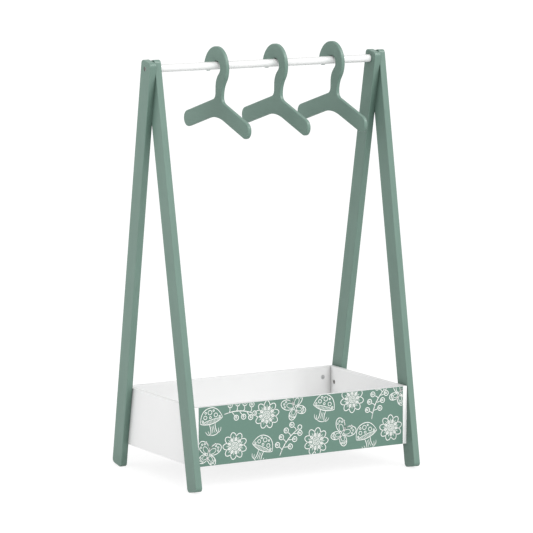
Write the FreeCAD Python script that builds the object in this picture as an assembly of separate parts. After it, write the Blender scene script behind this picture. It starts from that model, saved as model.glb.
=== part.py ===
import FreeCAD, Part
import math
import os

# A children's clothing rack: two A-frames of flat boards, a round bar between their tops,
# an open storage box low between them, and three flat hangers on the bar.
# Millimetres. X runs along the bar, the front is -Y, Z is up, and the floor is at zero.

# Stand
overall_height = 1060.0
bar_below_top = 22.5
bar_diameter = 20.0
bar_end_radius = 1.0

# Legs: straight boards with rounded ends
leg_width = 48.0
leg_thickness = 18.0
leg_line_inside_box_face = 14.4
leg_line_past_bar = 2.5
end_lean_in = 2.0
leg_corner_radius = 10.0
leg_edge_radius = 2.0
foot_flat_depth = 0.5

# Storage box
box_length = 622.0
box_depth = 370.0
box_height = 150.0
box_ground_gap = 60.0
panel_thickness = 12.0
panel_edge_radius = 1.0
bottom_thickness = 5.0
bottom_inset = 15.0
groove_depth = 5.0
groove_clearance = 0.2

# Bolts and threaded inserts
bolt_diameter = 6.0
bolt_head_diameter = 11.0
bolt_head_height = 3.5
bolt_head_edge_radius = 1.2
bolt_socket_width = 4.0
bolt_socket_depth = 2.2
bolt_hole_clearance = 0.25
insert_diameter = 9.0
insert_length = 13.0
bar_insert_length = 20.0
insert_clearance = 0.1
insert_hole_end_gap = 1.0
head_recess_depth = 4.0
head_recess_clearance = 0.3
leg_bolt_below_rim = 40.5
leg_bolt_share = 0.38

# Box corner fittings
cam_diameter = 12.0
cam_height = 9.0
cam_from_end = 24.0
cam_below_rim = 28.0
cam_above_underside = 40.0
cam_slot_width = 1.4
cam_slot_length = 8.0
cam_slot_depth = 1.5
cam_bolt_diameter = 6.0
dowel_diameter = 6.0
dowel_length = 28.0
end_hole_depth = 9.0
fitting_clearance = 0.15

# Hangers: flat boards, each cut in one piece, placed along the bar at shares of its length
hanger_thickness = 10.0
hanger_edge_radius = 2.5
hanger_span = 333.0
hanger_tilt_deg = 1.45
left_hanger_share = -0.2230
middle_hanger_share = 0.0510
right_hanger_share = 0.3193
arm_width = 41.5
arm_slope_deg = 17.4
arm_apex_drop = 102.6
arm_centre_offset = -1.3
arm_underside_radius = 136.0
hook_top_height = 48.3
hook_front_radius = 53.7
hook_back_radius = 63.0
hook_tip_radius = 14.0
hook_tip_deg = 13.2
seat_radius = 16.8
seat_clearance = 0.3
seat_turn_deg = 35.0
neck_width = 31.2
neck_offset = -13.5
neck_front_radius = 60.0
neck_back_radius = 46.0
neck_corner_radius = 17.5

# Cutters pass this far beyond what they cut
overrun = 5.0
same_place = 1e-6

# Places that follow from the sizes above
bar_radius = bar_diameter / 2
half_length = box_length / 2
half_bar = half_length - end_lean_in
half_depth = box_depth / 2
inner_half_length = half_length - panel_thickness
inner_half_depth = half_depth - panel_thickness
box_rim = box_ground_gap + box_height
bar_height = overall_height - bar_below_top

# Each leg's middle line runs from just past the bar axis to a point just inside the box face, level with
# its bolt. The bolt sits at a share of the way from the leg's inner edge to the inside of the box panel.
leg_bolt_z = box_rim - leg_bolt_below_rim
leg_line_y = half_depth - leg_line_inside_box_face
lean = math.atan2(leg_line_y + leg_line_past_bar, bar_height - leg_bolt_z)
leg_lean_deg = math.degrees(lean)
leg_line_shift = leg_line_past_bar * math.cos(lean)
leg_inner_edge_y = leg_line_y - leg_width / 2 / math.cos(lean)
leg_bolt_y = leg_inner_edge_y + leg_bolt_share * (inner_half_depth - leg_inner_edge_y)

# The bar is a little shorter than the box. The inner leg of each end leans in from the box end to the
# upper rim of the bar's end, and the outer leg leans out beside it.
inward_lean = math.atan2(end_lean_in, bar_height + bar_radius - leg_bolt_z)
inward_lean_deg = math.degrees(inward_lean)
outward_lean_deg = math.degrees(math.atan2(leg_thickness - end_lean_in, bar_height - leg_bolt_z))
inner_face_x = -half_bar - bar_radius * math.tan(inward_lean)

bolt_hole_radius = bolt_diameter / 2 + bolt_hole_clearance
head_recess_radius = bolt_head_diameter / 2 + head_recess_clearance
insert_hole_radius = insert_diameter / 2 + insert_clearance
cam_bolt_y = half_depth - panel_thickness / 2
cam_heights = (box_ground_gap + cam_above_underside, box_rim - cam_below_rim)
dowel_z = sum(cam_heights) / len(cam_heights)

ORIGIN = FreeCAD.Vector(0, 0, 0)
ALONG_X = FreeCAD.Vector(1, 0, 0)
ALONG_Y = FreeCAD.Vector(0, 1, 0)
UP = FreeCAD.Vector(0, 0, 1)
HALF_TURN_DEG = 180


def block(low, high):
    """A box between two corners."""
    size = [b - a for a, b in zip(low, high)]
    return Part.makeBox(*size, FreeCAD.Vector(*low))


def rod(radius, start, length, direction=ALONG_X):
    """A round bar from a start point."""
    return Part.makeCylinder(radius, length, FreeCAD.Vector(*start), direction)


def eased_block(low, high, radius):
    """A box with all its edges rounded."""
    plain = block(low, high)
    return plain.makeFillet(radius, plain.Edges)


def edges_across_x(shape):
    """The edges that lie in one plane square to X: the rims of a flat board."""
    return [edge for edge in shape.Edges if edge.BoundBox.XLength < same_place]


def edges_along_x(shape):
    """The straight edges that run along X: the corners of a flat board."""
    return [edge for edge in shape.Edges
            if edge.BoundBox.YLength < same_place and edge.BoundBox.ZLength < same_place]


def opposite(shape):
    """The same piece at the other end of the rack, turned half round about the vertical."""
    turned = shape.copy()
    turned.rotate(ORIGIN, UP, HALF_TURN_DEG)
    return turned


def mirrored_in_x(shape):
    return shape.mirror(ORIGIN, ALONG_X)


# Legs

def end_distance(rise, half_width):
    """Length of board from the bar axis to the end whose rounded corner is this far away in Z."""
    inset = half_width - leg_corner_radius
    straight = rise - leg_corner_radius - inset * math.sin(lean)
    return straight / math.cos(lean) + leg_corner_radius


def leg_board(shift):
    """An upright board with its bar hole on the X axis and its inner face in the YZ plane."""
    below = end_distance(bar_height + foot_flat_depth, leg_width / 2 + leg_line_shift)
    above = end_distance(bar_below_top, leg_width / 2 - leg_line_shift)
    board = block((-leg_thickness, shift - leg_width / 2, -below), (0, shift + leg_width / 2, above))
    board = board.makeFillet(leg_corner_radius, edges_along_x(board))
    return board.makeFillet(leg_edge_radius, edges_across_x(board))


def floor_cutter():
    reach_x = half_length + 2 * leg_thickness + overrun
    reach_y = bar_height * math.tan(lean) + leg_width
    return block((-reach_x, -reach_y, -overrun), (reach_x, reach_y, 0))


def leg_insert_hole(y):
    start = (-half_length + overrun, y, leg_bolt_z)
    length = overrun + insert_length + insert_hole_end_gap
    return rod(insert_hole_radius, start, length, -ALONG_X)


def apex_hole():
    start = (-half_bar - 2 * leg_thickness - overrun, 0, bar_height)
    return rod(bolt_hole_radius, start, 2 * leg_thickness + 2 * overrun)


def apex_recess():
    """The round recess for the bolt head in the outer face at the apex."""
    floor_x = -half_bar - 2 * leg_thickness + head_recess_depth
    return rod(head_recess_radius, (floor_x, 0, bar_height), head_recess_depth + overrun, -ALONG_X)


def box_seat():
    """The space of the box, which leaves a flat seat on a leg."""
    return block((-half_length, -half_depth, box_ground_gap), (0, half_depth, box_rim))


def inner_leg():
    """The board of the left front leg, nearly upright as seen from the front."""
    leg = leg_board(leg_line_shift)
    leg.rotate(ORIGIN, ALONG_X, -leg_lean_deg)
    leg.rotate(ORIGIN, ALONG_Y, inward_lean_deg)
    leg.translate(FreeCAD.Vector(inner_face_x, 0, bar_height))
    return leg


def left_front_leg():
    return inner_leg().cut(box_seat()).cut([floor_cutter(), apex_hole(), leg_insert_hole(-leg_bolt_y)])


def left_back_leg():
    """It leans out by one board, and has flat seats on the box end and on the front leg."""
    leg = leg_board(-leg_line_shift)
    leg.rotate(ORIGIN, ALONG_X, leg_lean_deg)
    leg.rotate(ORIGIN, ALONG_Y, -outward_lean_deg)
    leg.translate(FreeCAD.Vector(inner_face_x - leg_thickness, 0, bar_height))
    leg = leg.cut(inner_leg()).cut(box_seat())
    return leg.cut([floor_cutter(), apex_hole(), apex_recess(), leg_insert_hole(leg_bolt_y)])


# Bar, bolts and inserts

def hanging_bar():
    bar = rod(bar_radius, (-half_bar, 0, bar_height), 2 * half_bar)
    rims = edges_across_x(bar)
    bar = bar.makeFillet(bar_end_radius, rims)
    depth = bar_insert_length + insert_hole_end_gap
    left = rod(insert_hole_radius, (-half_bar - overrun, 0, bar_height), depth + overrun)
    right = rod(insert_hole_radius, (half_bar + overrun, 0, bar_height), depth + overrun, -ALONG_X)
    return bar.cut([left, right])


def bolt(shank_length):
    """A button-head bolt with a hexagon socket, the underside of its head in the YZ plane."""
    head = rod(bolt_head_diameter / 2, (-bolt_head_height, 0, 0), bolt_head_height)
    rim = [edge for edge in head.Edges if edge.BoundBox.XMax < same_place - bolt_head_height]
    head = head.makeFillet(bolt_head_edge_radius, rim)
    corner_radius = bolt_socket_width / math.sqrt(3)
    sides = 6
    angles = [2 * math.pi * step / sides for step in range(sides + 1)]
    corners = [FreeCAD.Vector(-bolt_head_height - overrun,
                              corner_radius * math.cos(a),
                              corner_radius * math.sin(a)) for a in angles]
    socket = Part.Face(Part.makePolygon(corners)).extrude(ALONG_X * (overrun + bolt_socket_depth))
    return head.cut(socket).fuse(rod(bolt_diameter / 2, (0, 0, 0), shank_length)).removeSplitter()


def insert(length):
    """A threaded sleeve from the YZ plane along X."""
    sleeve = rod(insert_diameter / 2, (0, 0, 0), length)
    bore = rod(bolt_diameter / 2 + insert_clearance, (-overrun, 0, 0), length + 2 * overrun)
    return sleeve.cut(bore)


def left_apex_bolt():
    piece = bolt(2 * leg_thickness - head_recess_depth + bar_insert_length)
    head_x = -half_bar - 2 * leg_thickness + head_recess_depth
    piece.translate(FreeCAD.Vector(head_x, 0, bar_height))
    return piece


def left_bar_insert():
    piece = insert(bar_insert_length)
    piece.translate(FreeCAD.Vector(-half_bar, 0, bar_height))
    return piece


def right_pair(piece, x):
    """Two like pieces at the right end of the box, one for each leg."""
    pair = []
    for y in (-leg_bolt_y, leg_bolt_y):
        copy = piece.copy()
        copy.translate(FreeCAD.Vector(x, y, leg_bolt_z))
        pair.append(copy)
    return Part.makeCompound(pair)


def right_leg_bolts():
    shank_length = panel_thickness - head_recess_depth + insert_length
    return right_pair(bolt(shank_length), inner_half_length + head_recess_depth)


def right_leg_inserts():
    return right_pair(insert(insert_length), half_length)


# Storage box

def bottom_block(margin):
    """The bottom panel, or with a margin the space of its grooves."""
    reach_x = inner_half_length + groove_depth - groove_clearance + margin
    reach_y = inner_half_depth + groove_depth - groove_clearance + margin
    low_z = box_ground_gap + bottom_inset - margin
    high_z = box_ground_gap + bottom_inset + bottom_thickness + margin
    return block((-reach_x, -reach_y, low_z), (reach_x, reach_y, high_z))


def bottom_panel():
    return bottom_block(0)


def end_bore(diameter, y, z, depth_in_side, depth_in_panel):
    """A bore on the joint between the right side panel and the end of a long panel."""
    radius = diameter / 2 + fitting_clearance
    start_x = inner_half_length - depth_in_panel
    return rod(radius, (start_x, y, z), depth_in_panel + depth_in_side)


def corner_bores(y):
    """Bores for the cam bolts and the dowel of one right-hand corner."""
    bores = [end_bore(cam_bolt_diameter, y, z, end_hole_depth, cam_from_end) for z in cam_heights]
    dowel_in_panel = dowel_length - end_hole_depth + 2 * fitting_clearance
    bores.append(end_bore(dowel_diameter, y, dowel_z, end_hole_depth, dowel_in_panel))
    return bores


def right_side_panel():
    panel = eased_block((inner_half_length, -half_depth, box_ground_gap),
                        (half_length, half_depth, box_rim), panel_edge_radius)
    cutters = corner_bores(-cam_bolt_y) + corner_bores(cam_bolt_y)
    cutters.append(bottom_block(groove_clearance))
    for y in (-leg_bolt_y, leg_bolt_y):
        start = (inner_half_length - overrun, y, leg_bolt_z)
        cutters.append(rod(bolt_hole_radius, start, panel_thickness + 2 * overrun))
        cutters.append(rod(head_recess_radius, start, overrun + head_recess_depth))
    return panel.cut(cutters)


def front_panel():
    panel = eased_block((-inner_half_length, -half_depth, box_ground_gap),
                        (inner_half_length, -inner_half_depth, box_rim), panel_edge_radius)
    right_cutters = corner_bores(-cam_bolt_y)
    for z in cam_heights:
        start = (inner_half_length - cam_from_end, -inner_half_depth + overrun, z)
        pocket_depth = cam_height + 2 * fitting_clearance
        right_cutters.append(rod(cam_diameter / 2 + fitting_clearance, start,
                                 pocket_depth + overrun, -ALONG_Y))
    left_cutters = [mirrored_in_x(cutter) for cutter in right_cutters]
    return panel.cut(right_cutters + left_cutters + [bottom_block(groove_clearance)])


# Box corner fittings, made for the right end of the front panel

def cam_lock(z):
    """A cam disc with a cross slot in its face and a bore for the head of its bolt."""
    centre_x = inner_half_length - cam_from_end
    face_y = -inner_half_depth - fitting_clearance
    disc = rod(cam_diameter / 2, (centre_x, face_y, z), cam_height, -ALONG_Y)
    half_slot = cam_slot_length / 2
    half_width = cam_slot_width / 2
    slot_low_y = face_y - cam_slot_depth
    slot_high_y = face_y + overrun
    flat_slot = block((centre_x - half_slot, slot_low_y, z - half_width),
                      (centre_x + half_slot, slot_high_y, z + half_width))
    upright_slot = block((centre_x - half_width, slot_low_y, z - half_slot),
                         (centre_x + half_width, slot_high_y, z + half_slot))
    bore = end_bore(cam_bolt_diameter, -cam_bolt_y, z, 0, cam_from_end)
    return disc.cut([flat_slot, upright_slot, bore])


def cam_bolt(z):
    length = cam_from_end + end_hole_depth - 2 * fitting_clearance
    start_x = inner_half_length - cam_from_end + fitting_clearance
    return rod(cam_bolt_diameter / 2, (start_x, -cam_bolt_y, z), length)


def corner_dowel(z):
    start_x = inner_half_length + end_hole_depth - fitting_clearance - dowel_length
    return rod(dowel_diameter / 2, (start_x, -cam_bolt_y, z), dowel_length)


def front_set(make, heights):
    """One fitting at each height, at both ends of the front panel."""
    right = [make(z) for z in heights]
    return Part.makeCompound(right + [mirrored_in_x(piece) for piece in right])


# Hangers: outline in the YZ plane about the bar axis, as straight lines and tangent arcs

def point(y, z):
    return FreeCAD.Vector(0, y, z)


def around(centre, radius, angle):
    return centre + point(radius * math.cos(angle), radius * math.sin(angle))


def direction_angle(start, end):
    return math.atan2(end.z - start.z, end.y - start.y)


def arc(centre, radius, first_angle, last_angle):
    ends_and_middle = [around(centre, radius, angle)
                       for angle in (first_angle, (first_angle + last_angle) / 2, last_angle)]
    return Part.Arc(*ends_and_middle).toShape()


def line(start, end):
    return Part.LineSegment(start, end).toShape()


def rounded_corner(before, corner, after, radius):
    """The tangent arc that rounds a corner between two straight lines."""
    to_before = (before - corner).normalize()
    to_after = (after - corner).normalize()
    half_angle = to_before.getAngle(to_after) / 2
    inward = (to_before + to_after).normalize()
    centre = corner + inward * (radius / math.sin(half_angle))
    setback = radius / math.tan(half_angle)
    return Part.Arc(corner + to_before * setback,
                    centre - inward * radius,
                    corner + to_after * setback).toShape()


def hook_edges():
    """From the back edge of the neck, round the seat, the tip and the top, to its front edge."""
    turn = 2 * math.pi
    half = turn / 2
    quarter = turn / 4
    neck_front_y = neck_offset - neck_width / 2
    neck_back_y = neck_offset + neck_width / 2
    seat_reach = seat_radius - bar_radius - seat_clearance
    seat = around(ORIGIN, seat_reach, -quarter - math.radians(seat_turn_deg))
    front = point(0, hook_top_height - hook_front_radius)
    back = point(0, hook_top_height - hook_back_radius)
    tip_angle = math.radians(hook_tip_deg)
    tip = around(back, hook_back_radius - hook_tip_radius, tip_angle)

    back_drop = math.sqrt((seat_radius + neck_back_radius) ** 2
                          - (neck_back_y - neck_back_radius - seat.y) ** 2)
    neck_back = point(neck_back_y - neck_back_radius, seat.z - back_drop)
    front_drop = math.sqrt((hook_front_radius + neck_front_radius) ** 2
                           - (neck_front_y - neck_front_radius) ** 2)
    neck_front = point(neck_front_y - neck_front_radius, front.z - front_drop)

    seat_start = direction_angle(seat, neck_back) + turn
    lift = math.acos((seat_radius + hook_tip_radius) / (tip - seat).Length)
    seat_end = direction_angle(seat, tip) + lift
    front_end = direction_angle(front, neck_front) + turn
    return [
        arc(neck_back, neck_back_radius, 0, seat_start - half),
        arc(seat, seat_radius, seat_start, seat_end),
        line(around(seat, seat_radius, seat_end), around(tip, hook_tip_radius, seat_end + half)),
        arc(tip, hook_tip_radius, seat_end + half, tip_angle + turn),
        arc(back, hook_back_radius, tip_angle, quarter),
        arc(front, hook_front_radius, quarter, front_end),
        arc(neck_front, neck_front_radius, front_end - half, 0),
    ]


def arm_edges(neck_front_end, neck_back_end):
    """From the front edge of the neck, round both arms, to its back edge."""
    slope = math.radians(arm_slope_deg)
    half_width = arm_width / 2
    reach = hanger_span / 2 - half_width
    apex = point(arm_centre_offset, -arm_apex_drop)
    front_tip = apex + point(-reach, -reach * math.tan(slope))
    back_tip = apex + point(reach, -reach * math.tan(slope))
    rise = half_width / math.cos(slope)

    def on_top(y):
        return point(y, apex.z + rise - abs(y - apex.y) * math.tan(slope))

    quarter = math.pi / 2
    front_top = around(front_tip, half_width, quarter + slope)
    front_under = around(front_tip, half_width, 3 * quarter + slope)
    back_under = around(back_tip, half_width, -quarter - slope)
    back_top = around(back_tip, half_width, quarter - slope)
    corners = [
        rounded_corner(neck_front_end, on_top(neck_front_end.y), front_top, neck_corner_radius),
        rounded_corner(front_under, apex - point(0, rise), back_under, arm_underside_radius),
        rounded_corner(back_top, on_top(neck_back_end.y), neck_back_end, neck_corner_radius),
    ]
    tips = [
        arc(front_tip, half_width, quarter + slope, 3 * quarter + slope),
        arc(back_tip, half_width, -quarter - slope, quarter - slope),
    ]
    pieces = [corners[0], tips[0], corners[1], tips[1], corners[2]]
    edges = []
    last = neck_front_end
    for piece in pieces:
        edges.append(line(last, piece.valueAt(piece.FirstParameter)))
        edges.append(piece)
        last = piece.valueAt(piece.LastParameter)
    edges.append(line(last, neck_back_end))
    return edges


def hanger(x):
    hook = hook_edges()
    neck_back_end = hook[0].valueAt(hook[0].FirstParameter)
    neck_front_end = hook[-1].valueAt(hook[-1].LastParameter)
    outline = Part.Wire(hook + arm_edges(neck_front_end, neck_back_end))
    board = Part.Face(outline).extrude(ALONG_X * hanger_thickness)
    board = board.makeFillet(hanger_edge_radius, edges_across_x(board))
    board.rotate(ORIGIN, ALONG_X, hanger_tilt_deg)
    board.translate(FreeCAD.Vector(x - hanger_thickness / 2, 0, bar_height))
    return board


# Assembly

def pieces():
    front_leg = left_front_leg()
    back_leg = left_back_leg()
    side = right_side_panel()
    front = front_panel()
    apex_bolt = left_apex_bolt()
    bar_insert = left_bar_insert()
    leg_bolts = right_leg_bolts()
    leg_inserts = right_leg_inserts()
    cam_locks = front_set(cam_lock, cam_heights)
    cam_bolts = front_set(cam_bolt, cam_heights)
    dowels = front_set(corner_dowel, [dowel_z])
    return {
        "left_front_leg": front_leg,
        "left_back_leg": back_leg,
        "right_back_leg": opposite(front_leg),
        "right_front_leg": opposite(back_leg),
        "hanging_bar": hanging_bar(),
        "left_apex_bolt": apex_bolt,
        "right_apex_bolt": opposite(apex_bolt),
        "left_bar_insert": bar_insert,
        "right_bar_insert": opposite(bar_insert),
        "right_side_panel": side,
        "left_side_panel": opposite(side),
        "front_panel": front,
        "back_panel": opposite(front),
        "bottom_panel": bottom_panel(),
        "right_leg_bolts": leg_bolts,
        "left_leg_bolts": opposite(leg_bolts),
        "right_leg_inserts": leg_inserts,
        "left_leg_inserts": opposite(leg_inserts),
        "front_cam_locks": cam_locks,
        "back_cam_locks": opposite(cam_locks),
        "front_cam_bolts": cam_bolts,
        "back_cam_bolts": opposite(cam_bolts),
        "front_corner_dowels": dowels,
        "back_corner_dowels": opposite(dowels),
        "left_hanger": hanger(left_hanger_share * box_length),
        "middle_hanger": hanger(middle_hanger_share * box_length),
        "right_hanger": hanger(right_hanger_share * box_length),
    }


def main():
    os.makedirs("parts", exist_ok=True)
    for name, shape in pieces().items():
        shape.exportStep("parts/" + name + ".step")
        print(name, len(shape.Solids), round(shape.Volume))


main()
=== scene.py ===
import math

import bmesh
import bpy
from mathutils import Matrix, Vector


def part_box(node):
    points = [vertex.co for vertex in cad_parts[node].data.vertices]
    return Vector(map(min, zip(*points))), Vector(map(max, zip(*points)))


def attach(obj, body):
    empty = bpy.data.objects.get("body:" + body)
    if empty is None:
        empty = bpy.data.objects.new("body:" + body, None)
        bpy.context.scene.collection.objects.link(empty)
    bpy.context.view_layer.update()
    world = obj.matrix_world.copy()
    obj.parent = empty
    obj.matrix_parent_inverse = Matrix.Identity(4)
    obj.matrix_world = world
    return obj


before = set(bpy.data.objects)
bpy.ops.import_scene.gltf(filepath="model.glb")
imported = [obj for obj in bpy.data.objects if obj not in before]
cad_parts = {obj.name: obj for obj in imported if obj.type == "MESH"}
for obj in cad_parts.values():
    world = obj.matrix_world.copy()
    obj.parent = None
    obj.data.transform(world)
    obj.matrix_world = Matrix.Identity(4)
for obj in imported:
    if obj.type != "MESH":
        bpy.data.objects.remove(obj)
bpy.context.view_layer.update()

# Metres, as the rack stands: X along the bar, the front is -Y, the floor is at zero.

# Camera
PICTURE_WIDTH_PX = 533
FOCAL_LENGTH_PX = 3442.07
SENSOR_WIDTH_MM = 36.0
CAMERA_PLACE = (-4.35327, -7.51524, 1.75242)
CAMERA_TURN_DEG = 30.0979
CAMERA_DIP_DEG = 8.0871
CAMERA_ROLL_DEG = -0.0702

# Floor and light
FLOOR_REACH = 60.0
FLOOR_DROP = 0.0003
FLOOR_COLOUR = (0.70, 0.70, 0.70, 1.0)
FLOOR_SHADE_COLOUR = (0.26, 0.26, 0.26, 1.0)
FLOOR_GLOW = 0.82
SKY_COLOUR = (1.0, 1.0, 1.0, 1.0)
SKY_STRENGTH = 0.66
BACKGROUND_WHITE = 1.0
FRONT_LAMP_FROM = (0.05, -0.78, 0.60)
FRONT_LAMP_STRENGTH = 1.70
FRONT_LAMP_SIZE_DEG = 50.0
LEFT_LAMP_PLACE = (-2.40, 0.30, 1.50)
LEFT_LAMP_AIM = (0.0, 0.0, 0.50)
LEFT_LAMP_POWER = 10.6
LEFT_LAMP_SIZE = 1.6
GLOSS_LAMP_PLACE = (1.46, -1.67, 3.07)
GLOSS_LAMP_AIM = (0.0, 0.0, 1.05)
GLOSS_LAMP_POWER = 90.0
GLOSS_LAMP_SIZE = 0.40

# Effects: the span of values that counts in each, and what some of them become
BOTH_WAYS = (-1.0, 1.0)
NOISE_SPAN = (0.3, 0.7)
EDGE_SPAN = (0.995, 0.86)
EDGE_BREAK_SPAN = (0.38, 0.62)
GRAIN_SPAN = (0.25, 0.75)
GRAIN_WANDER_SCALE = 6.0
GRAIN_WANDER = 0.02
DIMPLE_DEPTH = 0.6
CLOSED_SPAN = (0.92, 0.35)
LEVEL_SPAN = (0.55, 0.95)
SHADE_BREAKUP_SCALE = 25.0
SHADE_BREAKUP = (0.85, 1.0)

# Paint: the legs lean this far, so the grain runs with them, and the painted shade thins out towards the
# feet
LEG_LEAN_DEG = 11.3
HANGER_GRAIN_DEG = 90.0
LEG_ROUGHNESS = 0.38
HANGER_ROUGHNESS = 0.46
PAINT_STREAKS = (0.955, 1.035)
PAINT_SHADE = 0.9
UNSHADED_FOOT_HEIGHT = 0.07
PAINT_RELIEF_SHARE = 0.5
PAINT_RELIEF = 0.00012

# White board: painted shade fades in along X, and a darker painted shade lies close to the box corners
BOARD_RELIEF = 0.00006
ALL_ALONG = -1.0
SHADE_FADE = 0.045
CORNER_SHADE_REACH = 0.02
CORNER_SHADE_AMOUNT = 0.75
FRONT_FACE_SPAN = (-0.72, -0.80)

# Bar: rings rubbed round it
RING_STRETCH = (1.0, 0.06, 0.06)
RING_SCALE = 420.0
RING_SPAN = (0.55, 0.75)
RING_TINT = 0.25
RING_ROUGHNESS = 0.12
BAR_RELIEF = 0.00005

# Fittings
ZINC_RELIEF = 0.00004
DOWEL_GRAIN_DEG = 90.0
DOWEL_STREAKS = 0.5
DOWEL_RELIEF = 0.00008

# Print on the front panel
PRINT_LIFT = 0.00012
PRINT_SINK = 0.00012
PRINT_MARGIN = 0.0012
LINE_WIDTH = 0.0019
LINE_END_SHARE = 0.55


def colour(red, green, blue):
    """A colour written in screen values from 0 to 255, for a shader socket."""
    def linear(value):
        share = value / 255
        if share <= 0.04045:
            return share / 12.92
        return ((share + 0.055) / 1.055) ** 2.4
    return (linear(red), linear(green), linear(blue), 1.0)


SAGE = colour(118, 144, 133)
# The lighter sage of the worn edges is also a painted highlight on the rounded edges.
SAGE_EDGE_WEAR_AND_HIGHLIGHT = colour(158, 180, 170)
SAGE_SHADE = colour(54, 78, 68)
PRINT_SAGE = colour(99, 132, 119)
PRINT_CREAM = colour(247, 247, 244)
# The end boards are painted whiter than the long boards, as painted light for the light their faces get.
END_BOARD_LIT_WHITE = colour(253, 253, 253)
LONG_BOARD_WHITE = colour(236, 236, 236)
BOARD_SHADE = colour(196, 196, 195)
BOARD_EDGE = colour(228, 227, 225)
# A darker grey, painted shade close to the box corners.
BOARD_CORNER_SHADE = colour(150, 150, 149)
BAR_WHITE = colour(252, 252, 252)
BAR_RUBBED = colour(226, 226, 224)
BAR_SHADE = colour(205, 205, 204)
ZINC = colour(142, 139, 137)
ZINC_EDGE = colour(222, 222, 220)
CAM_ZINC = colour(192, 193, 194)
BEECH = colour(205, 170, 125)
BEECH_STREAK = colour(168, 128, 84)


# Shader helpers

def add_node(tree, kind, inputs=None, **settings):
    """A new node with its settings, and its inputs set to values or joined to outputs."""
    made = tree.nodes.new(kind)
    for name, value in settings.items():
        setattr(made, name, value)
    for name, value in (inputs or {}).items():
        if isinstance(value, bpy.types.NodeSocket):
            tree.links.new(value, made.inputs[name])
        else:
            made.inputs[name].default_value = value
    return made


def reckon(tree, operation, first, second):
    return add_node(tree, "ShaderNodeMath", {0: first, 1: second}, operation=operation).outputs[0]


def plus(tree, first, second):
    return reckon(tree, "ADD", first, second)


def times(tree, first, second):
    return reckon(tree, "MULTIPLY", first, second)


def larger(tree, first, second):
    return reckon(tree, "MAXIMUM", first, second)


def join_vectors(tree, operation, first, second):
    return add_node(tree, "ShaderNodeVectorMath", {0: first, 1: second}, operation=operation).outputs


def one_axis(tree, vector, axis):
    return add_node(tree, "ShaderNodeSeparateXYZ", {"Vector": vector}).outputs[axis]


def own_normal(tree):
    """The way the surface looks, which stays with the piece when it moves."""
    return add_node(tree, "ShaderNodeTexCoord").outputs["Normal"]


def noise(tree, vector, scale, detail=3.0, rough=0.5):
    return add_node(tree, "ShaderNodeTexNoise",
                    {"Vector": vector, "Scale": scale, "Detail": detail, "Roughness": rough}).outputs["Fac"]


def spread(tree, value, span, new_span=(0.0, 1.0)):
    """A value taken from one span to another, and held within it."""
    return add_node(tree, "ShaderNodeMapRange",
                    {"Value": value, "From Min": span[0], "From Max": span[1],
                     "To Min": new_span[0], "To Max": new_span[1]}, clamp=True).outputs["Result"]


def blend_colours(tree, mask, under, over):
    return add_node(tree, "ShaderNodeMix", {0: mask, 6: under, 7: over}, data_type="RGBA").outputs[2]


def scale_brightness(tree, tint, factor):
    return add_node(tree, "ShaderNodeHueSaturation", {"Color": tint, "Value": factor}).outputs["Color"]


# Effects that several finishes share

NUMBER = "NodeSocketFloat"
POINT = "NodeSocketVector"
TINT = "NodeSocketColor"


def blank_group(name, inputs, outputs):
    """An empty node group with named sockets."""
    tree = bpy.data.node_groups.new(name, "ShaderNodeTree")
    for label, kind, value in inputs:
        socket = tree.interface.new_socket(label, in_out="INPUT", socket_type=kind)
        if value is not None:
            socket.default_value = value
    for label, kind in outputs:
        tree.interface.new_socket(label, in_out="OUTPUT", socket_type=kind)
    return tree, tree.nodes.new("NodeGroupInput").outputs, tree.nodes.new("NodeGroupOutput").inputs


def uneven_tone_group():
    """A colour that is a little lighter and darker in broad patches and fine flecks."""
    tree, given, result = blank_group(
        "uneven_tone",
        [("Color", TINT, None), ("Vector", POINT, None), ("Patch Scale", NUMBER, 9.0),
         ("Fleck Scale", NUMBER, 700.0), ("Patch Amount", NUMBER, 0.04), ("Fleck Amount", NUMBER, 0.03)],
        [("Color", TINT)])
    patches = noise(tree, given["Vector"], given["Patch Scale"], detail=4.0)
    flecks = noise(tree, given["Vector"], given["Fleck Scale"], detail=2.0)
    change = plus(tree,
                  times(tree, spread(tree, patches, NOISE_SPAN, BOTH_WAYS), given["Patch Amount"]),
                  times(tree, spread(tree, flecks, NOISE_SPAN, BOTH_WAYS), given["Fleck Amount"]))
    tone = scale_brightness(tree, given["Color"], plus(tree, change, 1.0))
    tree.links.new(tone, result["Color"])
    return tree


def edge_wear_and_highlight_group():
    """A mask along the edges, broken up as handling breaks it: wear, and on the sage paint also a painted
    highlight.
    """
    tree, given, result = blank_group(
        "edge_wear_and_highlight",
        [("Vector", POINT, None), ("Width", NUMBER, 0.002), ("Break Scale", NUMBER, 60.0),
         ("Amount", NUMBER, 0.5)],
        [("Mask", NUMBER)])
    rounded = add_node(tree, "ShaderNodeBevel", {"Radius": given["Width"]}, samples=6).outputs["Normal"]
    straight = add_node(tree, "ShaderNodeNewGeometry").outputs["Normal"]
    edge = spread(tree, join_vectors(tree, "DOT_PRODUCT", rounded, straight)["Value"], EDGE_SPAN)
    breaks = spread(tree, noise(tree, given["Vector"], given["Break Scale"], detail=5.0, rough=0.6),
                    EDGE_BREAK_SPAN)
    tree.links.new(times(tree, times(tree, edge, breaks), given["Amount"]), result["Mask"])
    return tree


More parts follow.
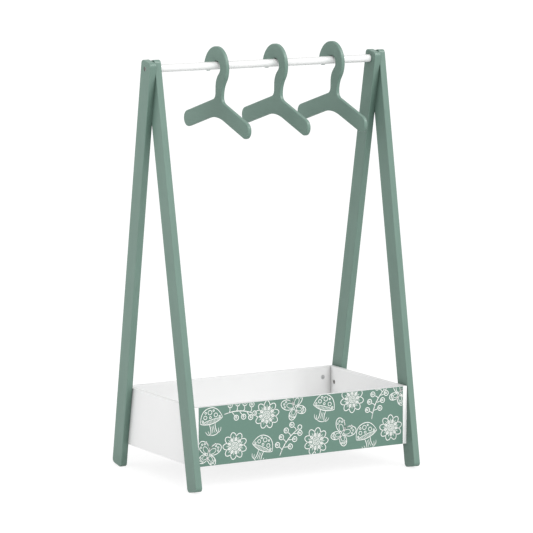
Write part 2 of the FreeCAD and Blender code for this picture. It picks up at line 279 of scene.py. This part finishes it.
def board_grain_group():
    """Long streaks that run along the Z of the given place, as the grain of a board does."""
    tree, given, result = blank_group(
        "board_grain",
        [("Vector", POINT, None), ("Scale", NUMBER, 220.0), ("Length", NUMBER, 0.035)],
        [("Streaks", NUMBER)])
    squeeze = add_node(tree, "ShaderNodeCombineXYZ", {"X": 1.0, "Y": 1.0, "Z": given["Length"]})
    along = join_vectors(tree, "MULTIPLY", given["Vector"], squeeze.outputs["Vector"])["Vector"]
    wander = times(tree, noise(tree, given["Vector"], GRAIN_WANDER_SCALE, detail=2.0), GRAIN_WANDER)
    moved = join_vectors(tree, "ADD", along, wander)["Vector"]
    streaks = noise(tree, moved, given["Scale"], detail=4.0, rough=0.6)
    tree.links.new(spread(tree, streaks, GRAIN_SPAN), result["Streaks"])
    return tree


def sprayed_skin_group():
    """The soft dimples of a sprayed or rolled finish."""
    tree, given, result = blank_group(
        "sprayed_skin",
        [("Vector", POINT, None), ("Scale", NUMBER, 420.0)],
        [("Height", NUMBER)])
    cells = add_node(tree, "ShaderNodeTexVoronoi",
                     {"Vector": given["Vector"], "Scale": given["Scale"], "Smoothness": 1.0},
                     feature="SMOOTH_F1").outputs["Distance"]
    soft = noise(tree, given["Vector"], given["Scale"], detail=2.0)
    tree.links.new(plus(tree, times(tree, cells, DIMPLE_DEPTH), soft), result["Height"])
    return tree


def handled_gloss_group():
    """Roughness that varies with smears and fine rubbed marks."""
    tree, given, result = blank_group(
        "handled_gloss",
        [("Vector", POINT, None), ("Roughness", NUMBER, 0.4), ("Amount", NUMBER, 0.08),
         ("Scale", NUMBER, 14.0)],
        [("Roughness", NUMBER)])
    smears = noise(tree, given["Vector"], given["Scale"], detail=6.0, rough=0.6)
    change = times(tree, spread(tree, smears, NOISE_SPAN, BOTH_WAYS), given["Amount"])
    tree.links.new(plus(tree, given["Roughness"], change), result["Roughness"])
    return tree


def corner_and_top_shade_group():
    """A painted shade mask that grows in corners and gaps, where shade falls, and on level tops."""
    tree, given, result = blank_group(
        "corner_and_top_shade",
        [("Vector", POINT, None), ("Reach", NUMBER, 0.04), ("In Corners", NUMBER, 0.5),
         ("On Tops", NUMBER, 0.0)],
        [("Mask", NUMBER)])
    open_share = add_node(tree, "ShaderNodeAmbientOcclusion",
                          {"Distance": given["Reach"]}, samples=8).outputs["AO"]
    cloud = spread(tree, noise(tree, given["Vector"], SHADE_BREAKUP_SCALE, detail=4.0), NOISE_SPAN, SHADE_BREAKUP)
    closed = times(tree, spread(tree, open_share, CLOSED_SPAN), cloud)
    level = spread(tree, one_axis(tree, own_normal(tree), "Z"), LEVEL_SPAN)
    mask = larger(tree, times(tree, closed, given["In Corners"]), times(tree, level, given["On Tops"]))
    tree.links.new(mask, result["Mask"])
    return tree


UNEVEN_TONE = uneven_tone_group()
EDGE_WEAR_AND_HIGHLIGHT = edge_wear_and_highlight_group()
BOARD_GRAIN = board_grain_group()
SPRAYED_SKIN = sprayed_skin_group()
HANDLED_GLOSS = handled_gloss_group()
CORNER_AND_TOP_SHADE = corner_and_top_shade_group()


def use(tree, group, inputs):
    """A node group placed in a material with its own values. Each group has one output."""
    return add_node(tree, "ShaderNodeGroup", inputs, node_tree=group).outputs[0]


# Finishes

def blank_finish(name, **surface):
    """An empty material: its tree, its shader, and the place on the piece that textures follow."""
    material = bpy.data.materials.new(name)
    material.use_nodes = True
    tree = material.node_tree
    tree.nodes.clear()
    shader = add_node(tree, "ShaderNodeBsdfPrincipled", surface)
    add_node(tree, "ShaderNodeOutputMaterial", {"Surface": shader.outputs["BSDF"]})
    spot = add_node(tree, "ShaderNodeTexCoord").outputs["Object"]
    return material, tree, shader, spot


def finish_surface(tree, shader, tint, roughness, height=None, relief=0.0):
    """Joins what a finish has worked out to its shader."""
    tree.links.new(tint, shader.inputs["Base Color"])
    tree.links.new(roughness, shader.inputs["Roughness"])
    if height is not None:
        bump = add_node(tree, "ShaderNodeBump", {"Height": height, "Distance": relief, "Strength": 1.0})
        tree.links.new(bump.outputs["Normal"], shader.inputs["Normal"])


def sage_paint(name, grain_deg, roughness):
    """Satin paint on wood, with worn edges made lighter as a painted highlight, and painted shade in
    corners and gaps that fades out at the feet. The grain under it runs along Z turned about X.
    """
    material, tree, shader, spot = blank_finish(name, **{"Specular IOR Level": 0.25})
    turned = add_node(tree, "ShaderNodeMapping",
                      {"Vector": spot, "Rotation": (math.radians(grain_deg), 0, 0)}).outputs["Vector"]
    streaks = use(tree, BOARD_GRAIN, {"Vector": turned, "Scale": 240.0})
    skin = use(tree, SPRAYED_SKIN, {"Vector": spot, "Scale": 520.0})
    tone = use(tree, UNEVEN_TONE, {"Color": SAGE, "Vector": spot, "Patch Amount": 0.035,
                                   "Fleck Amount": 0.02})
    streaked = scale_brightness(tree, tone, spread(tree, streaks, (0.0, 1.0), PAINT_STREAKS))
    # The lighter edges are partly wear and partly a painted highlight.
    wear_and_highlight = use(tree, EDGE_WEAR_AND_HIGHLIGHT, {"Vector": spot, "Width": 0.0025, "Amount": 0.40})
    # Painted shade darkens the paint in corners and gaps between parts, and fades out near the floor.
    amount = spread(tree, one_axis(tree, spot, "Z"), (0.0, UNSHADED_FOOT_HEIGHT), (0.0, PAINT_SHADE))
    painted_shade = use(tree, CORNER_AND_TOP_SHADE, {"Vector": spot, "Reach": 0.05, "In Corners": amount})
    shade_painted = blend_colours(tree, painted_shade, streaked, SAGE_SHADE)
    gloss = use(tree, HANDLED_GLOSS, {"Vector": spot, "Roughness": roughness, "Amount": 0.06})
    height = plus(tree, times(tree, streaks, PAINT_RELIEF_SHARE), times(tree, skin, PAINT_RELIEF_SHARE))
    finish_surface(tree, shader, blend_colours(tree, wear_and_highlight, shade_painted, SAGE_EDGE_WEAR_AND_HIGHLIGHT), gloss, height, PAINT_RELIEF)
    return material


def white_skin(tree, spot, tint):
    """The colour, roughness and height of white faced board."""
    tone = use(tree, UNEVEN_TONE, {"Color": tint, "Vector": spot, "Patch Scale": 5.0,
                                   "Patch Amount": 0.008, "Fleck Amount": 0.012})
    gloss = use(tree, HANDLED_GLOSS, {"Vector": spot, "Roughness": 0.42, "Amount": 0.07})
    skin = use(tree, SPRAYED_SKIN, {"Vector": spot, "Scale": 900.0})
    return tone, gloss, skin


def white_board(name, tint, face_way, shade_reach, corner_shade, rim_shade, shade_from_x=ALL_ALONG):
    """White faced board with painted shade on its rim and, to the right of a line, in the corners of its
    faces, and a darker painted shade close to the corners.
    """
    material, tree, shader, spot = blank_finish(name, **{"Specular IOR Level": 0.65})
    tone, gloss, skin = white_skin(tree, spot, tint)
    wear_and_highlight = use(tree, EDGE_WEAR_AND_HIGHLIGHT, {"Vector": spot, "Width": 0.0015, "Amount": 0.35})
    facing = join_vectors(tree, "DOT_PRODUCT", own_normal(tree), face_way)["Value"]
    on_face = times(tree, facing, facing)
    shade_along_x = spread(tree, one_axis(tree, spot, "X"), (shade_from_x, shade_from_x + SHADE_FADE),
                   (0.0, corner_shade))
    painted_shade = use(tree, CORNER_AND_TOP_SHADE, {"Vector": spot, "Reach": shade_reach,
                                    "In Corners": times(tree, on_face, shade_along_x), "On Tops": rim_shade})
    shade_painted = blend_colours(tree, painted_shade, tone, BOARD_SHADE)
    close_shade = use(tree, CORNER_AND_TOP_SHADE, {"Vector": spot, "Reach": CORNER_SHADE_REACH,
                                     "In Corners": times(tree, on_face, CORNER_SHADE_AMOUNT)})
    close_shade_painted = blend_colours(tree, close_shade, shade_painted, BOARD_CORNER_SHADE)
    finish_surface(tree, shader, blend_colours(tree, wear_and_highlight, close_shade_painted, BOARD_EDGE), gloss, skin, BOARD_RELIEF)
    return material


def printed_board():
    """White faced board with a sage print ground on its front face only, and painted shade on its rim."""
    material, tree, shader, spot = blank_finish("printed_board_finish")
    tone, gloss, skin = white_skin(tree, spot, LONG_BOARD_WHITE)
    front = spread(tree, one_axis(tree, own_normal(tree), "Y"), FRONT_FACE_SPAN)
    painted_shade = use(tree, CORNER_AND_TOP_SHADE, {"Vector": spot, "In Corners": 0.0, "On Tops": 0.35})
    shade_painted = blend_colours(tree, painted_shade, tone, BOARD_SHADE)
    ground = use(tree, UNEVEN_TONE, {"Color": PRINT_SAGE, "Vector": spot, "Patch Amount": 0.02,
                                     "Fleck Scale": 1400.0, "Fleck Amount": 0.03})
    finish_surface(tree, shader, blend_colours(tree, front, shade_painted, ground), gloss, skin, BOARD_RELIEF)
    return material


def print_ink():
    """The pale ink of the line print."""
    material, tree, shader, spot = blank_finish("print_ink_finish")
    tone = use(tree, UNEVEN_TONE, {"Color": PRINT_CREAM, "Vector": spot, "Patch Scale": 40.0,
                                   "Patch Amount": 0.02, "Fleck Scale": 1800.0, "Fleck Amount": 0.03})
    gloss = use(tree, HANDLED_GLOSS, {"Vector": spot, "Roughness": 0.46, "Amount": 0.06})
    finish_surface(tree, shader, tone, gloss)
    return material


def bar_lacquer():
    """Gloss white lacquer with faint rings where hangers have slid, and painted shade along its top."""
    material, tree, shader, spot = blank_finish("bar_lacquer_finish")
    tone = use(tree, UNEVEN_TONE, {"Color": BAR_WHITE, "Vector": spot, "Patch Scale": 14.0,
                                   "Patch Amount": 0.008, "Fleck Amount": 0.01})
    across = add_node(tree, "ShaderNodeMapping", {"Vector": spot, "Scale": RING_STRETCH}).outputs["Vector"]
    rings = spread(tree, noise(tree, across, RING_SCALE, detail=5.0, rough=0.7), RING_SPAN)
    rubbed = blend_colours(tree, times(tree, rings, RING_TINT), tone, BAR_RUBBED)
    painted_shade = use(tree, CORNER_AND_TOP_SHADE, {"Vector": spot, "In Corners": 0.0, "On Tops": 0.64})
    smears = use(tree, HANDLED_GLOSS, {"Vector": spot, "Roughness": 0.26, "Amount": 0.05})
    gloss = plus(tree, smears, times(tree, rings, RING_ROUGHNESS))
    skin = use(tree, SPRAYED_SKIN, {"Vector": spot, "Scale": 600.0})
    finish_surface(tree, shader, blend_colours(tree, painted_shade, rubbed, BAR_SHADE), gloss, skin, BAR_RELIEF)
    return material


def zinc(name, tint, roughness, fleck_scale):
    """Plated or cast zinc with fine flecks."""
    material, tree, shader, spot = blank_finish(name, Metallic=1.0)
    tone = use(tree, UNEVEN_TONE, {"Color": tint, "Vector": spot, "Patch Scale": 180.0,
                                   "Patch Amount": 0.08, "Fleck Scale": fleck_scale, "Fleck Amount": 0.10})
    wear_and_highlight = use(tree, EDGE_WEAR_AND_HIGHLIGHT, {"Vector": spot, "Width": 0.0006, "Break Scale": 400.0, "Amount": 0.5})
    gloss = use(tree, HANDLED_GLOSS, {"Vector": spot, "Roughness": roughness, "Amount": 0.10,
                                      "Scale": 260.0})
    flecks = noise(tree, spot, fleck_scale)
    finish_surface(tree, shader, blend_colours(tree, wear_and_highlight, tone, ZINC_EDGE), gloss, flecks, ZINC_RELIEF)
    return material


def beech():
    """Bare turned beech with its short flecks along the dowel."""
    material, tree, shader, spot = blank_finish("beech_finish")
    along = add_node(tree, "ShaderNodeMapping",
                     {"Vector": spot, "Rotation": (0, math.radians(DOWEL_GRAIN_DEG), 0)}).outputs["Vector"]
    streaks = use(tree, BOARD_GRAIN, {"Vector": along, "Scale": 700.0, "Length": 0.08})
    tone = use(tree, UNEVEN_TONE, {"Color": BEECH, "Vector": spot, "Patch Scale": 60.0})
    grained = blend_colours(tree, times(tree, streaks, DOWEL_STREAKS), tone, BEECH_STREAK)
    gloss = use(tree, HANDLED_GLOSS, {"Vector": spot, "Roughness": 0.62, "Scale": 90.0})
    finish_surface(tree, shader, grained, gloss, streaks, DOWEL_RELIEF)
    return material


def dress(finish, *names):
    """Gives a finish to CAD pieces."""
    for name in names:
        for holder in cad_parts[name].material_slots:
            holder.material = finish


dress(sage_paint("sage_paint_front_legs", LEG_LEAN_DEG, LEG_ROUGHNESS),
      "left_front_leg", "right_front_leg")
dress(sage_paint("sage_paint_back_legs", -LEG_LEAN_DEG, LEG_ROUGHNESS),
      "left_back_leg", "right_back_leg")
dress(sage_paint("sage_paint_hangers", HANGER_GRAIN_DEG, HANGER_ROUGHNESS),
      "left_hanger", "middle_hanger", "right_hanger")
dress(white_board("end_board_finish", END_BOARD_LIT_WHITE, face_way=(1, 0, 0),
                  shade_reach=0.05, corner_shade=0.20, rim_shade=0.5),
      "left_side_panel", "right_side_panel")
# On the back board the painted shade starts at X 0.18, a painted shadow over its right end.
dress(white_board("back_board_finish", LONG_BOARD_WHITE, face_way=(0, 1, 0),
                  shade_reach=0.30, corner_shade=0.50, rim_shade=0.35, shade_from_x=0.18),
      "back_panel")
dress(white_board("bottom_board_finish", LONG_BOARD_WHITE, face_way=(0, 0, 1),
                  shade_reach=0.16, corner_shade=0.6, rim_shade=0.0),
      "bottom_panel")
dress(printed_board(), "front_panel")
dress(bar_lacquer(), "hanging_bar")
dress(zinc("zinc_steel_finish", ZINC, roughness=0.34, fleck_scale=1500.0),
      "left_apex_bolt", "right_apex_bolt", "left_bar_insert", "right_bar_insert", "left_leg_bolts",
      "right_leg_bolts", "left_leg_inserts", "right_leg_inserts", "front_cam_bolts", "back_cam_bolts")
dress(zinc("zinc_cam_finish", CAM_ZINC, roughness=0.46, fleck_scale=900.0),
      "front_cam_locks", "back_cam_locks")
dress(beech(), "front_corner_dowels", "back_corner_dowels")


# Print on the front panel: flat lines of ink, drawn in the plane of the panel with X across and Z up

def polar(radius, turn):
    return (radius * math.cos(turn), radius * math.sin(turn))


def shifted(spot, move):
    return (spot[0] + move[0], spot[1] + move[1])


def ring(radius, centre=(0.0, 0.0), steps=14):
    return [shifted(centre, polar(radius, 2 * math.pi * n / steps)) for n in range(steps)]


def bow(start, middle, end, steps):
    """A smooth curved line that is pulled towards its middle point."""
    line = []
    for n in range(steps + 1):
        t = n / steps
        a, b, c = (1 - t) ** 2, 2 * t * (1 - t), t ** 2
        line.append(tuple(a * p + b * q + c * r for p, q, r in zip(start, middle, end)))
    return line


def around(points, turn, move=(0.0, 0.0), size=1.0):
    """Points turned by an angle, scaled and moved."""
    c, s = math.cos(turn), math.sin(turn)
    return [(move[0] + size * (x * c - y * s), move[1] + size * (x * s + y * c)) for x, y in points]


def oval(length, width, steps=14, gap=0.0):
    """An oval loop that starts at the origin and reaches along X, open at its root by the gap."""
    line = []
    for n in range(steps + 1):
        turn = math.pi - gap - 2 * (math.pi - gap) * n / steps
        line.append((length / 2 + length / 2 * math.cos(turn), width / 2 * math.sin(turn)))
    return line


# A motif is a list of lines and spans about one unit. Each line has a weight, a share of the line width.
STEM, FULL, FIRM, PLAIN, LIGHT, FINE, FAINT, DOT = 1.2, 1.0, 0.9, 0.8, 0.7, 0.65, 0.6, 0.5


def stroke(points, weight=FULL):
    return (points, False, weight)


def loop(points, weight=FULL):
    return (points, True, weight)


def daisy():
    petals = 9
    heart = 0.13
    lines = [loop(ring(heart)), loop(ring(0.085), LIGHT)]
    lines += [loop(ring(0.016, spot, 6), FAINT) for spot in ring(0.045, steps=5)]
    for n in range(petals):
        turn = 2 * math.pi * n / petals
        root = polar(heart, turn)
        lines.append(stroke(around(oval(0.36, 0.235, 16, gap=0.45), turn, root)))
        for side in (-0.055, 0.0, 0.055):
            vein = bow((0.03, side * 0.5), (0.12, side), (0.22 - abs(side), side * 0.9), 5)
            lines.append(stroke(around(vein, turn, root), FINE))
    return lines


def toadstool():
    left, top, right = (-0.46, 0.02), (0.0, 0.49), (0.46, 0.02)
    cap = bow(left, (-0.36, 0.50), top, 9) + bow(top, (0.36, 0.50), right, 9)[1:]
    lines = [stroke(cap),
             stroke(bow(left, (0.0, -0.20), right, 12)),
             stroke(bow(left, (0.0, 0.10), right, 12), PLAIN)]
    for n in range(-6, 7):
        share = n / 7
        high = 0.055 - 0.035 * share ** 2
        low = -0.085 + 0.10 * share ** 2
        gill = bow((share * 0.44, high), (share * 0.40, (high + low) / 2), (share * 0.36, low), 3)
        lines.append(stroke(gill, FINE))
    for x, y, radius in ((-0.22, 0.20, 0.065), (0.0, 0.33, 0.08), (0.21, 0.18, 0.07), (-0.02, 0.15, 0.04),
                         (0.16, 0.36, 0.03), (-0.17, 0.36, 0.035), (-0.35, 0.10, 0.03), (0.35, 0.09, 0.03)):
        lines.append(loop(ring(radius, (x, y), 12), PLAIN))
    for side in (-1, 1):
        stalk = bow((side * 0.12, -0.09), (side * 0.07, -0.30), (side * 0.15, -0.48), 8)
        fold = bow((side * 0.03, -0.16), (side * 0.02, -0.30), (side * 0.05, -0.44), 5)
        lines += [stroke(stalk), stroke(fold, FINE)]
        for reach in (0.22, 0.32):
            blade = bow((side * 0.17, -0.48), (side * (reach - 0.02), -0.44), (side * reach, -0.30), 5)
            lines.append(stroke(blade, LIGHT))
    lines.append(stroke(bow((-0.15, -0.48), (0.0, -0.54), (0.15, -0.48), 6)))
    return lines


def berry_twig():
    stem = bow((-0.50, -0.16), (-0.02, 0.16), (0.50, 0.10), 16)
    lines = [stroke(stem, STEM)]
    for n, side in ((2, 1), (4, -1), (6, 1), (8, -1), (10, 1), (12, -1), (14, 1)):
        root = stem[n]
        turn = math.radians(28 + side * 62)
        tip = shifted(root, polar(0.17, turn))
        centre = shifted(root, polar(0.25, turn))
        lines.append(stroke(bow(root, shifted(root, (0.08, side * 0.06)), tip, 5), FIRM))
        lines.append(loop(ring(0.08, centre)))
        glint = bow((-0.045, 0.01), (-0.04, 0.05), (0.005, 0.048), 4)
        lines.append(stroke(around(glint, 0.0, centre), LIGHT))
        lines += [loop(ring(0.010, seed, 5), DOT) for seed in ring(0.022, centre, 4)]
    lines.append(loop(ring(0.07, shifted(stem[-1], (0.05, 0.02)))))
    return lines


def butterfly():
    lines = [stroke(around(oval(0.44, 0.08), math.radians(90), (0.0, -0.22)))]
    for side in (-1, 1):
        for turn_deg, length, width, root_z in ((40, 0.52, 0.35, 0.07), (-42, 0.40, 0.28, -0.04)):
            turn = math.radians(turn_deg if side > 0 else 180 - turn_deg)
            root = (side * 0.035, root_z)
            lines.append(stroke(around(oval(length, width, 18, gap=0.3), turn, root)))
            lines.append(stroke(around(oval(length * 0.55, width * 0.5, 12), turn, root), LIGHT))
            for reach, rise in ((0.76, 0.0), (0.66, 0.27), (0.66, -0.27)):
                spot = around([(length * reach, width * rise)], turn, root)[0]
                lines.append(loop(ring(0.03, spot, 10), LIGHT))
        feeler = bow((side * 0.02, 0.20), (side * 0.05, 0.36), (side * 0.17, 0.42), 6)
        lines.append(stroke(feeler, PLAIN))
        lines.append(loop(ring(0.02, (side * 0.19, 0.435), 8), PLAIN))
    return lines


MOTIFS = {"daisy": daisy(), "toadstool": toadstool(), "berry_twig": berry_twig(),
          "butterfly": butterfly()}

# motif, X, Z, size, turn in degrees
PRINT_LAYOUT = [
    ("toadstool", -0.262, 0.172, 0.070, 12),
    ("berry_twig", -0.184, 0.186, 0.080, -18),
    ("daisy", -0.104, 0.174, 0.072, 8),
    ("butterfly", -0.022, 0.184, 0.072, 24),
    ("toadstool", 0.062, 0.176, 0.070, -16),
    ("daisy", 0.146, 0.190, 0.070, 30),
    ("berry_twig", 0.222, 0.172, 0.080, 48),
    ("butterfly", 0.287, 0.190, 0.066, -30),
    ("butterfly", -0.272, 0.088, 0.070, -14),
    ("daisy", -0.196, 0.104, 0.070, 20),
    ("toadstool", -0.118, 0.090, 0.068, -24),
    ("berry_twig", -0.040, 0.100, 0.082, 34),
    ("daisy", 0.040, 0.092, 0.072, 0),
    ("butterfly", 0.116, 0.104, 0.072, -34),
    ("toadstool", 0.190, 0.092, 0.070, 18),
    ("daisy", 0.262, 0.106, 0.068, 12),
]


def within(spot, low, high):
    return low[0] <= spot[0] <= high[0] and low[1] <= spot[1] <= high[1]


def leaving_point(inner, outer, low, high):
    """Where the line from a point on the printed face to one beside it leaves the face."""
    share = 1.0
    for axis in (0, 1):
        gap = outer[axis] - inner[axis]
        if gap == 0:
            continue
        for limit in (low[axis], high[axis]):
            reached = (limit - inner[axis]) / gap
            if 0 <= reached < share:
                share = reached
    return (inner[0] + (outer[0] - inner[0]) * share, inner[1] + (outer[1] - inner[1]) * share)


def inside_runs(points, low, high):
    """The runs of a line that lie inside the printed face, cut where it leaves the face."""
    runs = []
    run = []
    for n, spot in enumerate(points):
        if within(spot, low, high):
            if not run and n:
                run.append(leaving_point(spot, points[n - 1], low, high))
            run.append(spot)
        elif run:
            run.append(leaving_point(run[-1], spot, low, high))
            runs.append(run)
            run = []
    if run:
        runs.append(run)
    return runs


def draw_line(bm, points, closed, width, face_y):
    """One flat line of ink: a thin strip with closed sides, narrower at its free ends."""
    last = len(points) - 1
    corners = ((1, -PRINT_LIFT), (-1, -PRINT_LIFT), (-1, PRINT_SINK), (1, PRINT_SINK))
    rows = []
    for n, (x, z) in enumerate(points):
        before = points[n - 1] if n or closed else points[0]
        after = points[(n + 1) % len(points)] if n < last or closed else points[last]
        way = Vector((after[0] - before[0], after[1] - before[1]))
        if way.length == 0:
            continue
        way.normalize()
        taper = 1.0
        if not closed:
            taper = LINE_END_SHARE + (1 - LINE_END_SHARE) * math.sqrt(math.sin(math.pi * n / last))
        side = Vector((-way.y, way.x)) * (width * taper / 2)
        rows.append([bm.verts.new((x + sign * side.x, face_y + depth, z + sign * side.y))
                     for sign, depth in corners])
    pairs = list(zip(rows, rows[1:]))
    if closed:
        pairs.append((rows[-1], rows[0]))
    for first, second in pairs:
        for k in range(len(corners)):
            m = (k + 1) % len(corners)
            bm.faces.new((first[k], first[m], second[m], second[k]))
    if not closed:
        bm.faces.new(rows[0][::-1])
        bm.faces.new(rows[-1])


def front_print():
    """All the lines of the print as one piece on the face of the front panel."""
    panel_low, panel_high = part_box("front_panel")
    low = (panel_low.x + PRINT_MARGIN, panel_low.z + PRINT_MARGIN)
    high = (panel_high.x - PRINT_MARGIN, panel_high.z - PRINT_MARGIN)
    bm = bmesh.new()
    for motif, x, z, size, turn_deg in PRINT_LAYOUT:
        for line, closed, weight in MOTIFS[motif]:
            points = around(line, math.radians(turn_deg), (x, z), size)
            width = LINE_WIDTH * weight
            if closed and all(within(spot, low, high) for spot in points):
                draw_line(bm, points, True, width, panel_low.y)
                continue
            outline = points + points[:1] if closed else points
            for run in inside_runs(outline, low, high):
                if len(run) > 1:
                    draw_line(bm, run, False, width, panel_low.y)
    bmesh.ops.recalc_face_normals(bm, faces=bm.faces)
    mesh = bpy.data.meshes.new("front_print")
    bm.to_mesh(mesh)
    bm.free()
    mesh.materials.append(print_ink())
    piece = bpy.data.objects.new("front_print", mesh)
    bpy.context.scene.collection.objects.link(piece)
    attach(piece, "stand")


front_print()


# Floor, light and camera

def seen_directly(tree):
    """One for what the camera sees, straight, in a gloss or through glass, and zero for light."""
    path = add_node(tree, "ShaderNodeLightPath").outputs
    return larger(tree, path["Is Camera Ray"],
                  larger(tree, path["Is Glossy Ray"], path["Is Transmission Ray"]))


def floor():
    """A pale floor that keeps a soft shadow and shows as white."""
    mesh = bpy.data.meshes.new("floor")
    corners = [(-FLOOR_REACH, -FLOOR_REACH), (FLOOR_REACH, -FLOOR_REACH),
               (FLOOR_REACH, FLOOR_REACH), (-FLOOR_REACH, FLOOR_REACH)]
    mesh.from_pydata([(x, y, -FLOOR_DROP) for x, y in corners], [], [(0, 1, 2, 3)])
    piece = bpy.data.objects.new("floor", mesh)
    bpy.context.scene.collection.objects.link(piece)

    material = bpy.data.materials.new("floor_white")
    material.use_nodes = True
    tree = material.node_tree
    tree.nodes.clear()
    lit = add_node(tree, "ShaderNodeBsdfDiffuse", {"Color": FLOOR_COLOUR}).outputs["BSDF"]
    shaded = add_node(tree, "ShaderNodeBsdfDiffuse", {"Color": FLOOR_SHADE_COLOUR}).outputs["BSDF"]
    glow = add_node(tree, "ShaderNodeEmission", {"Strength": FLOOR_GLOW}).outputs["Emission"]
    shown = add_node(tree, "ShaderNodeAddShader", {0: shaded, 1: glow}).outputs["Shader"]
    either = add_node(tree, "ShaderNodeMixShader", {0: seen_directly(tree), 1: lit, 2: shown})
    add_node(tree, "ShaderNodeOutputMaterial", {"Surface": either.outputs["Shader"]})
    mesh.materials.append(material)


def sky():
    """An even pale light from all round, seen as the background's white."""
    world = bpy.data.worlds.new("studio")
    bpy.context.scene.world = world
    world.use_nodes = True
    tree = world.node_tree
    tree.nodes.clear()
    extra = times(tree, seen_directly(tree), BACKGROUND_WHITE - SKY_STRENGTH)
    shade = add_node(tree, "ShaderNodeBackground",
                     {"Color": SKY_COLOUR, "Strength": plus(tree, extra, SKY_STRENGTH)})
    add_node(tree, "ShaderNodeOutputWorld", {"Surface": shade.outputs["Background"]})


def lamp(name, kind, strength, stands_at, aims_at=(0.0, 0.0, 0.0)):
    """A lamp at one point that shines towards another."""
    data = bpy.data.lights.new(name, kind)
    data.energy = strength
    made = bpy.data.objects.new(name, data)
    made.location = stands_at
    made.rotation_euler = (Vector(stands_at) - Vector(aims_at)).to_track_quat("Z", "Y").to_euler()
    bpy.context.scene.collection.objects.link(made)
    return made


def lamps():
    """A broad soft lamp from the front, a smaller one near the left end, and one for gloss alone."""
    front = lamp("front_lamp", "SUN", FRONT_LAMP_STRENGTH, FRONT_LAMP_FROM)
    front.data.angle = math.radians(FRONT_LAMP_SIZE_DEG)
    left = lamp("left_lamp", "AREA", LEFT_LAMP_POWER, LEFT_LAMP_PLACE, LEFT_LAMP_AIM)
    left.data.size = LEFT_LAMP_SIZE
    gloss = lamp("gloss_lamp", "AREA", GLOSS_LAMP_POWER, GLOSS_LAMP_PLACE, GLOSS_LAMP_AIM)
    gloss.data.size = GLOSS_LAMP_SIZE
    gloss.visible_diffuse = False


def camera():
    data = bpy.data.cameras.new("camera")
    data.sensor_width = SENSOR_WIDTH_MM
    data.lens = FOCAL_LENGTH_PX * SENSOR_WIDTH_MM / PICTURE_WIDTH_PX
    data.clip_end = 2 * FLOOR_REACH
    viewer = bpy.data.objects.new("camera", data)
    viewer.location = CAMERA_PLACE
    viewer.rotation_euler = (math.radians(90 - CAMERA_DIP_DEG), 0, -math.radians(CAMERA_TURN_DEG))
    viewer.rotation_euler.rotate_axis("Z", math.radians(CAMERA_ROLL_DEG))
    bpy.context.scene.collection.objects.link(viewer)
    bpy.context.scene.camera = viewer


floor()
sky()
lamps()
camera()
bpy.context.scene.view_settings.view_transform = "Standard"
